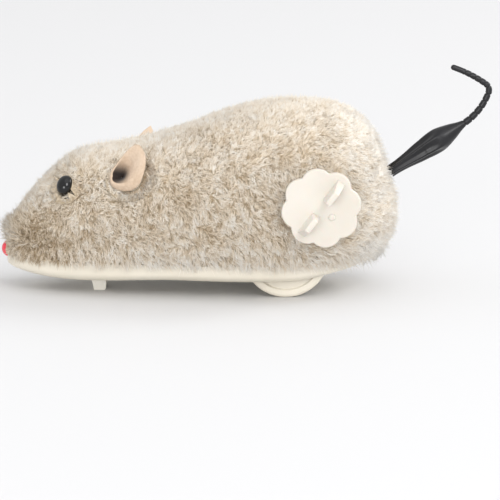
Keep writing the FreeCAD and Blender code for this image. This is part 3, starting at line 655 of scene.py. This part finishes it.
def strand_meshes(roots, middles, tips):
    """Vertices and face corners of the strands.

    Each has a ring of STRAND_SIDES at its root and at its middle, and runs out to a point.
    """
    count = len(roots)
    lower = unit(middles - roots)
    upper = unit(tips - middles)
    aside = unit(np.cross(lower, (0.31, 0.52, 0.79)))
    vertices = np.empty((count, 2 * STRAND_SIDES + 1, 3))
    for ring, (centre, heading, radius) in enumerate((
        (roots, lower, STRAND_RADIUS), (middles, unit(lower + upper), STRAND_RADIUS * 0.9)
    )):
        first = unit(aside - heading * (aside * heading).sum(axis=1)[:, None])
        second = np.cross(heading, first)
        for side in range(STRAND_SIDES):
            turn = 2 * math.pi * side / STRAND_SIDES
            offset = first * math.cos(turn) + second * math.sin(turn)
            vertices[:, ring * STRAND_SIDES + side] = centre + offset * radius
    vertices[:, -1] = tips
    sides = [(side, (side + 1) % STRAND_SIDES) for side in range(STRAND_SIDES)]
    lower_faces = [(a, b, b + STRAND_SIDES, a + STRAND_SIDES) for a, b in sides]
    upper_faces = [(a + STRAND_SIDES, b + STRAND_SIDES, 2 * STRAND_SIDES) for a, b in sides]
    root_face = (0, *reversed(range(1, STRAND_SIDES)))
    return vertices, lower_faces + upper_faces + [root_face]


def pile_piece(name, roots, middles, tips, normals, tone, materials):
    """One patch of pile as a single mesh. A strand is darker at its root than at its tip."""
    vertices, faces = strand_meshes(roots, middles, tips)
    count, per_strand = len(roots), vertices.shape[1]
    pattern = [corner for face in faces for corner in face]
    sizes = [len(face) for face in faces]
    corners = (np.arange(count)[:, None] * per_strand + np.array(pattern)).ravel()
    totals = np.tile(sizes, count)
    mesh = bpy.data.meshes.new(name)
    mesh.vertices.add(count * per_strand)
    mesh.vertices.foreach_set("co", (vertices * MM).ravel())
    mesh.loops.add(len(corners))
    mesh.loops.foreach_set("vertex_index", corners)
    mesh.polygons.add(len(totals))
    mesh.polygons.foreach_set("loop_start", np.concatenate(([0], np.cumsum(totals)[:-1])))
    mesh.polygons.foreach_set("loop_total", totals)
    mesh.polygons.foreach_set("use_smooth", np.ones(len(totals), dtype=bool))
    last = len(materials) - 1
    root_tone = np.clip(np.round(tone - ROOT_DARKER), 0, last).astype(int)
    tip_tone = np.clip(np.round(tone), 0, last).astype(int)
    per_face = np.stack(
        [root_tone] * STRAND_SIDES + [tip_tone] * STRAND_SIDES + [root_tone], axis=1
    )
    for material in materials:
        mesh.materials.append(material)
    mesh.polygons.foreach_set("material_index", per_face.ravel().astype(np.int32))
    mesh.update(calc_edges=True)
    mesh.normals_split_custom_set_from_vertices(
        soft_normals(vertices, roots, middles, tips, normals)
    )
    piece = bpy.data.objects.new(name, mesh)
    bpy.context.scene.collection.objects.link(piece)
    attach(piece, "body")
    return piece


def soft_normals(vertices, roots, middles, tips, normals):
    """Fibres let light through, so they are shaded mostly like the surface they grow from."""
    centres = np.repeat(np.stack([roots, middles], axis=1), STRAND_SIDES, axis=1)
    outwards = vertices[:, :-1] - centres
    own = np.concatenate([outwards, unit(tips - middles)[:, None] * 0.02], axis=1)
    own /= np.maximum(np.linalg.norm(own, axis=2, keepdims=True), 1e-9)
    mixed = own * (1 - FIBRE_SOFTNESS) + normals[:, None] * FIBRE_SOFTNESS
    return unit(mixed.reshape(-1, 3))


def grow_pile():
    roots, middles, tips, normals, tone = strand_shapes()
    materials = pile_materials()
    pieces = []
    from_nose = np.argsort(roots[:, 0], kind="stable")
    for name, chosen in zip(PILE_PIECES, np.array_split(from_nose, len(PILE_PIECES))):
        pieces.append(pile_piece(
            "pile_" + name, roots[chosen], middles[chosen], tips[chosen], normals[chosen],
            tone[chosen], materials,
        ))
    return pieces


# ---------------------------------------------------------------- ears

# Outlines of the left ear in millimetres from its middle: across and up
EAR_RIM = (
    (-1.4, 7.1), (-3.0, 4.2), (-4.3, -0.4), (-4.8, -2.4),
    (-4.3, -4.3), (-2.9, -5.6), (-0.4, -5.1), (2.2, -2.9),
    (3.2, 0.0), (3.2, 3.4), (2.4, 6.1), (0.6, 7.5),
)
EAR_BELLY = (
    (-2.1, 6.8), (-3.8, 3.6), (-5.0, -1.2), (-5.5, -3.5),
    (-5.1, -5.3), (-3.5, -6.7), (-0.5, -6.4), (2.6, -4.8),
    (4.2, -1.9), (3.7, 2.4), (2.4, 5.3), (0.3, 6.8),
)
EAR_HOLLOW = (-3.5, -3.6)
EAR_ROOT = (-1.4, -3.3)
EAR_FRONT = 1.5  # the rim's plane is this far out from the ear's middle
EAR_CUP = 4.4  # depth of the hollow
EAR_ROLL = 1.5  # the belly's edge is this far behind the rim
EAR_BACK = 5.4  # and the root is this much further back
EAR_STEPS = 84
EAR_RINGS = 14
FELT_T = 0.7
FELT_WAVE = (0.14, 1.6)  # height and width of the felt's unevenness
EAR_SHADE = (5.2, 0.6)  # painted shade: the hollow is painted darker between these distances from its bottom


def closed_curve(points, steps):
    """Catmull-Rom curve through a ring of (across, up) points."""
    curve = []
    count = len(points)
    for step in range(steps):
        place = step / steps * count
        index, share = int(place), place - int(place)
        corners = (Vector(points[(index + k) % count]) for k in (-1, 0, 1, 2))
        curve.append(on_spline(*corners, share))
    return curve


def ear_rings():
    """(flat place, height over the rim's plane, painted shade) of every vertex, ring by ring.

    From the root in the plush the outside runs out over the belly to the rim,
    then the inside runs back down into the hollow.
    """
    rim = closed_curve(EAR_RIM, EAR_STEPS)
    belly = closed_curve(EAR_BELLY, EAR_STEPS)
    root, hollow = Vector(EAR_ROOT), Vector(EAR_HOLLOW)
    rings = []
    for share in (0.3, 0.5, 0.7, 0.85, 0.95, 1.0):
        drop = -EAR_ROLL - EAR_BACK * (1 - share) ** 0.8
        rings.append([(root.lerp(edge, share), drop, 0.0) for edge in belly])
    for share, drop in ((0.25, -1.05), (0.55, -0.55), (0.85, -0.2)):
        rings.append([(low.lerp(high, share), drop, 0.0) for low, high in zip(belly, rim)])
    rings.append([(edge, 0.0, 0.0) for edge in rim])
    for ring in range(1, EAR_RINGS + 1):
        outwards = 1 - ring / EAR_RINGS
        places = []
        for edge in rim:
            inner = edge - (edge - hollow).normalized() * FELT_T
            flat = hollow.lerp(inner, 0.06 + 0.94 * outwards)
            # painted shade, darkest near the bottom of the hollow
            painted_shade = float(fade((flat - hollow).length, *EAR_SHADE)) if ring > 1 else 0.0
            places.append((flat, -EAR_CUP * (1 - outwards) ** 1.5, painted_shade))
        rings.append(places)
    return rings


def felt_ear(name, node, side):
    """Pressed felt curled into a cup with one low side; its root is in the plush."""
    across, up, opening = ear_axes(side)
    wave_height, wave_width = FELT_WAVE
    vertices, depth = [], []
    for ring in ear_rings():
        for flat, height, painted_shade in ring:
            wave = wave_height * noise.noise(Vector((flat.x, flat.y, height)) / wave_width)
            place = across * flat.x + up * flat.y + opening * (EAR_FRONT + height + wave)
            vertices.append(ear_place(side) + place)
            depth.append(painted_shade)
    faces = []
    facing = -side  # the right ear is mirrored, so its faces run the other way round
    count = len(vertices) // EAR_STEPS
    for ring in range(count - 1):
        for step in range(EAR_STEPS):
            after = (step + 1) % EAR_STEPS
            a, b = ring * EAR_STEPS + step, ring * EAR_STEPS + after
            faces.append((a, a + EAR_STEPS, b + EAR_STEPS, b)[::facing])
    last = (count - 1) * EAR_STEPS
    faces.append(tuple(range(EAR_STEPS))[::facing])
    faces.append(tuple(range(last, last + EAR_STEPS))[::-facing])
    piece = new_piece(name, vertices, faces, FELT, "body")
    # the painted shade of the hollow, read by the felt's material
    shade = piece.data.attributes.new("hollow", "FLOAT", "POINT")
    shade.data.foreach_set("value", depth)
    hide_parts(node)
    return piece


# ---------------------------------------------------------------- tail

BULB = ((0.0, 1.75), (4.0, 2.0), (9.5, 2.8), (15.5, 3.35), (19.5, 2.4), (24.0, 0.98))
FLUTES = 6
FLUTE_DEPTH = 0.26
FLUTE_FADE = (12.5, 18.5)
BULB_SEAM = 11.0
WHIP_START = 24.0
WHIP_BENDS = ((17.5, 36.5), (2.2, 75.0), (36.0, 16.0))  # radius, turn of each arc
WHIP_RADII = (0.98, 0.8)
WHIP_RINGS = (2.1, 0.24)  # pitch, depth of the grooves
WHIP_TICKS = (1.55, 0.12)  # the same past the sharp bend
TICKS_START = 37.5
WHIP_TIP = 3.0  # the plain stretch at the end
GROOVE_WIDTH = 0.17
SPINDLE_R = 1.04
ROOT_TEAR = 0.6  # how far the ragged root's ridges reach back
TAIL_SIDES = 48
TAIL_STEP = 0.12


def tail_line():
    """(point, heading) every TAIL_STEP along the tail's middle line, from its root to its tip."""
    line = []
    steps = int(WHIP_START / TAIL_STEP)
    for step in range(steps + 1):
        line.append((TAIL_ROOT + along(TAIL_ANGLE) * step * TAIL_STEP, TAIL_ANGLE))
    at, heading = line[-1]
    for radius, turn in WHIP_BENDS:
        centre = at + along(heading + 90) * radius
        steps = max(1, round(math.radians(turn) * radius / TAIL_STEP))
        for step in range(1, steps + 1):
            turned = heading + turn * step / steps
            line.append((centre + along(turned - 90) * radius, turned))
        at, heading = line[-1]
    return line


def bulb_radius(distance):
    """Smooth curve through BULB."""
    places, radii = zip(*BULB)
    index = max(0, min(len(places) - 2, sum(p <= distance for p in places) - 1))
    share = (distance - places[index]) / (places[index + 1] - places[index])
    before, after = max(0, index - 1), min(len(radii) - 1, index + 2)
    return on_spline(radii[before], radii[index], radii[index + 1], radii[after], share)


def flute_depth(distance):
    """The bulb's lengthwise folds are deepest near the root and fade past its widest place."""
    return FLUTE_DEPTH * (1 - float(fade(distance, *FLUTE_FADE)))


def whip_radius(distance, total):
    """The whip tapers, with a narrow groove at each ring and finer ticks near its tip."""
    share = (distance - WHIP_START) / (total - WHIP_START)
    radius = WHIP_RADII[0] + (WHIP_RADII[1] - WHIP_RADII[0]) * share
    if total - distance < WHIP_TIP:
        return radius * 0.98
    pitch, depth = WHIP_TICKS if distance > TICKS_START else WHIP_RINGS
    past_groove = (distance - WHIP_START - 0.35) % pitch
    from_groove = min(past_groove, pitch - past_groove)
    groove = math.exp(-(from_groove / GROOVE_WIDTH) ** 2)
    collar = 0.05 * (1 - past_groove / pitch)
    return radius * (0.98 + collar) - depth * groove


def tail_radius(distance, angle, total):
    if distance >= WHIP_START:
        return whip_radius(distance, total)
    folds = abs(math.sin(FLUTES / 2 * angle))
    radius = bulb_radius(distance) * (1 - flute_depth(distance) * folds)
    seam = math.exp(-((distance - BULB_SEAM) / 0.16) ** 2)
    return radius - 0.05 * seam


def tail_piece():
    """The rubber tail: a fluted bulb with a ragged root, and a ringed whip with a round tip."""
    line = tail_line()
    total = (len(line) - 1) * TAIL_STEP
    rings = []

    def ring_at(place, heading, radius_at, back=0.0):
        ring = []
        for side in range(TAIL_SIDES):
            angle = 2 * math.pi * side / TAIL_SIDES
            outwards = along(heading + 90) * math.cos(angle) + Vector((0, 1, 0)) * math.sin(angle)
            ridge = (1 - abs(math.sin(FLUTES / 2 * angle))) ** 2
            ring.append(place + outwards * radius_at(angle) - along(heading) * back * ridge)
        rings.append(ring)

    root, heading = line[0]
    for depth, radius in ((6.0, SPINDLE_R), (0.5, SPINDLE_R), (0.25, 1.2)):
        ring_at(root + along(heading) * depth, heading, lambda angle, r=radius: r)
    wall = 0.3
    ring_at(root, heading, lambda angle: tail_radius(0, angle, total) - wall, 0.55)
    ring_at(root, heading, lambda angle: tail_radius(0, angle, total), ROOT_TEAR)
    for index, (place, heading) in enumerate(line[2:], start=2):
        distance = index * TAIL_STEP
        back = ROOT_TEAR * max(0.0, 1 - distance / 1.2)
        ring_at(place, heading, lambda angle, d=distance: tail_radius(d, angle, total), back)
    tip, heading = line[-1]
    end_radius = whip_radius(total, total)
    for step in range(1, 6):
        turn = math.radians(15 * step)
        ring_at(
            tip + along(heading) * end_radius * math.sin(turn), heading,
            lambda angle, c=math.cos(turn): end_radius * c,
        )
    vertices = [v for ring in rings for v in ring]
    faces = []
    for ring in range(len(rings) - 1):
        for side in range(TAIL_SIDES):
            after = (side + 1) % TAIL_SIDES
            a, b = ring * TAIL_SIDES + side, ring * TAIL_SIDES + after
            faces.append((a, a + TAIL_SIDES, b + TAIL_SIDES, b))
    last = (len(rings) - 1) * TAIL_SIDES
    faces.append(tuple(range(TAIL_SIDES)))
    faces.append(tuple(reversed(range(last, last + TAIL_SIDES))))
    piece = new_piece("rubber_tail", vertices, faces, RUBBER, "tail_assembly")
    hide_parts("tail")
    return piece


# ---------------------------------------------------------------- winding knob

KNOB_PETALS = 8
PETAL_STEPS = 18
KNOB_PHASE = 10.0
KNOB_R = 10.9
KNOB_NOTCH_R = 9.65
KNOB_FACE_Y = -31.0
KNOB_BACK_Y = -29.0
KNOB_HUB_R = 3.0
KNOB_HUB_Y = -25.2
FIN_ANGLE = 52.6
FIN_SPAN = (2.2, 9.2)
FIN_HEIGHT = 6.4
FIN_T = (2.5, 1.6)  # at its base and at its top
NUB_AT = Vector((2.9, 0, -2.4))
NUB_R = 0.9
NUB_HEIGHT = 0.6
BEVEL_ANGLE = 35.0


def knob_outline():
    """Points of the petalled edge in the XZ plane, about the winding axis."""
    points = []
    pitch = 360 / KNOB_PETALS
    half_width = KNOB_NOTCH_R * math.sin(math.radians(pitch / 2))
    chord_at = KNOB_NOTCH_R * math.cos(math.radians(pitch / 2))
    rise = KNOB_R - chord_at
    arc_r = (half_width ** 2 + rise ** 2) / (2 * rise)
    sweep = 2 * math.asin(half_width / arc_r)
    if rise > arc_r:
        sweep = 2 * math.pi - sweep
    for petal in range(KNOB_PETALS):
        middle = KNOB_PHASE + petal * pitch
        centre = along(middle) * (KNOB_R - arc_r)
        for step in range(PETAL_STEPS):
            turn = math.degrees(sweep) * (step / PETAL_STEPS - 0.5)
            points.append(centre + along(middle + turn) * arc_r)
    return points


def bevelled(piece, width, segments=3):
    bevel = piece.modifiers.new("edges", "BEVEL")
    bevel.width = width * MM
    bevel.segments = segments
    bevel.limit_method = "ANGLE"
    bevel.angle_limit = math.radians(BEVEL_ANGLE)


def joined_solids(pieces):
    """The first piece, united with the others, its modifiers applied."""
    whole = pieces[0]
    for other in pieces[1:]:
        union = whole.modifiers.new("union", "BOOLEAN")
        union.operation = "UNION"
        union.solver = "EXACT"
        union.object = other
    graph = bpy.context.evaluated_depsgraph_get()
    mesh = bpy.data.meshes.new_from_object(whole.evaluated_get(graph))
    whole.modifiers.clear()
    whole.data = mesh
    for other in pieces[1:]:
        bpy.data.objects.remove(other)
    return whole


def prism(name, outline, y0, y1):
    """A closed solid between two copies of an outline, which runs round the winding axis."""
    front = [Vector((p.x, y0, p.z)) for p in outline]
    back = [Vector((p.x, y1, p.z)) for p in outline]
    return loose_piece(name, front + back, prism_faces(len(outline)))


def loose_piece(name, vertices, faces):
    """A solid on no body yet, to be united with others. Vertices are in millimetres."""
    mesh = bpy.data.meshes.new(name)
    mesh.from_pydata([v * MM for v in vertices], [], faces)
    solid = bmesh.new()
    solid.from_mesh(mesh)
    bmesh.ops.recalc_face_normals(solid, faces=solid.faces)
    solid.to_mesh(mesh)
    solid.free()
    piece = bpy.data.objects.new(name, mesh)
    bpy.context.scene.collection.objects.link(piece)
    return piece


def thumb_wing(side):
    """One half of the fin, sloping down to the rim."""
    inner, outer = (side * span for span in FIN_SPAN)
    base, top = KNOB_FACE_Y + 0.5, KNOB_FACE_Y - FIN_HEIGHT
    profile = (
        (inner, base), (outer, base), (outer - side * 0.5, KNOB_FACE_Y - 1.0),
        (outer - side * 2.6, top), (inner + side * 0.4, top),
    )
    centre = Vector((WINDING_AT.x, 0, WINDING_AT.z))
    vertices = []
    for shift in (-1, 1):
        for distance, y in profile:
            raised = (base - y) / (base - top)
            half = (FIN_T[0] + (FIN_T[1] - FIN_T[0]) * raised) / 2
            place = centre + along(FIN_ANGLE) * distance + along(FIN_ANGLE + 90) * half * shift
            vertices.append(Vector((place.x, y, place.z)))
    return loose_piece("wing", vertices, prism_faces(len(profile)))


def round_outline(radius, centre, sides=40):
    return [centre + along(360 * side / sides) * radius for side in range(sides)]


def knob_piece():
    """The petalled winding knob with soft moulded edges."""
    centre = Vector((WINDING_AT.x, 0, WINDING_AT.z))
    disc = prism(
        "winding_knob_moulding", [centre + p for p in knob_outline()], KNOB_FACE_Y, KNOB_BACK_Y
    )
    bevelled(disc, 0.45, 4)
    nub = prism(
        "nub", round_outline(NUB_R, centre + NUB_AT), KNOB_FACE_Y - NUB_HEIGHT, KNOB_FACE_Y + 0.5
    )
    bevelled(nub, 0.35)
    hub = prism("hub", round_outline(KNOB_HUB_R, centre), KNOB_BACK_Y - 0.5, KNOB_HUB_Y)
    wings = [thumb_wing(side) for side in (-1, 1)]
    for wing in wings:
        bevelled(wing, 0.28)
    knob = joined_solids([disc, nub, hub] + wings)
    knob.data.materials.clear()
    knob.data.materials.append(KNOB_PLASTIC)
    knob.data.polygons.foreach_set("use_smooth", [True] * len(knob.data.polygons))
    knob.data.set_sharp_from_angle(angle=math.radians(40))
    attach(knob, "winding")
    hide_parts("winding_knob")
    return knob


# ---------------------------------------------------------------- studio

FLOOR_EDGE = 8.0  # metres from the middle
WORLD_STRENGTH = 0.86
SUN_STRENGTH = 0.35
SUN_ANGLE = 50
SUN_AIM = Vector((-0.25, 0.35, -1.0))
SOFT_BOXES = {  # place and size in metres, power in watts
    "key_box": ((0.6, -1.4, 1.0), 0.66, 9.0),
    "low_box": ((-0.45, -1.6, 0.2), 0.66, 8.5),
    "rear_box": ((1.45, 0.35, 0.9), 0.75, 12.0),
}


def camera():
    data = bpy.data.cameras.new("camera")
    data.sensor_width = SENSOR_WIDTH
    data.lens = SENSOR_WIDTH * CAMERA_DISTANCE / VIEW_WIDTH
    data.clip_start, data.clip_end = 0.01, 30
    seen = bpy.data.objects.new("camera", data)
    turn, rise = math.radians(CAMERA_AZIMUTH), math.radians(CAMERA_ELEVATION)
    back = Vector((
        math.sin(turn) * math.cos(rise), -math.cos(turn) * math.cos(rise), math.sin(rise)
    ))
    seen.location = (Vector(LOOK_AT) + back * CAMERA_DISTANCE) * MM
    seen.rotation_euler = (-back).to_track_quat("-Z", "Y").to_euler()
    bpy.context.scene.collection.objects.link(seen)
    bpy.context.scene.camera = seen


def soft_box(name, place, size, power):
    """A square lamp that faces the object."""
    data = bpy.data.lights.new(name, "AREA")
    data.size = size
    data.energy = power
    lamp = bpy.data.objects.new(name, data)
    lamp.location = place
    aim = Vector((0, 0, 0.03)) - Vector(place)
    lamp.rotation_euler = aim.to_track_quat("-Z", "Y").to_euler()
    bpy.context.scene.collection.objects.link(lamp)


def studio_floor():
    mesh = bpy.data.meshes.new("floor")
    corners = [
        (x * FLOOR_EDGE, y * FLOOR_EDGE, 0) for x, y in ((-1, -1), (1, -1), (1, 1), (-1, 1))
    ]
    mesh.from_pydata(corners, [], [(0, 1, 2, 3)])
    mesh.materials.append(
        new_material("studio_floor", srgb(221, 221, 222), 0.7, Specular_IOR_Level=0.2)
    )
    floor = bpy.data.objects.new("floor", mesh)
    bpy.context.scene.collection.objects.link(floor)


def studio():
    """A pale floor, an even white surround, a faint sun and three far soft boxes."""
    studio_floor()
    world = bpy.data.worlds.new("studio")
    bpy.context.scene.world = world
    world.use_nodes = True
    background = world.node_tree.nodes["Background"]
    background.inputs["Color"].default_value = (1.0, 1.0, 1.0, 1)
    background.inputs["Strength"].default_value = WORLD_STRENGTH

    sun = bpy.data.lights.new("top_light", "SUN")
    sun.energy = SUN_STRENGTH
    sun.angle = math.radians(SUN_ANGLE)
    lamp = bpy.data.objects.new("top_light", sun)
    lamp.rotation_euler = SUN_AIM.to_track_quat("-Z", "Y").to_euler()
    bpy.context.scene.collection.objects.link(lamp)
    for name, (place, size, power) in SOFT_BOXES.items():
        soft_box(name, place, size, power)
    bpy.context.scene.view_settings.view_transform = "Standard"


camera()
studio()
finish_cad_nodes()
backing = plush_backing()
pile = grow_pile()
felt_ear("felt_ear_left", "ear_left", -1)
felt_ear("felt_ear_right", "ear_right", 1)
tail_piece()
knob_piece()
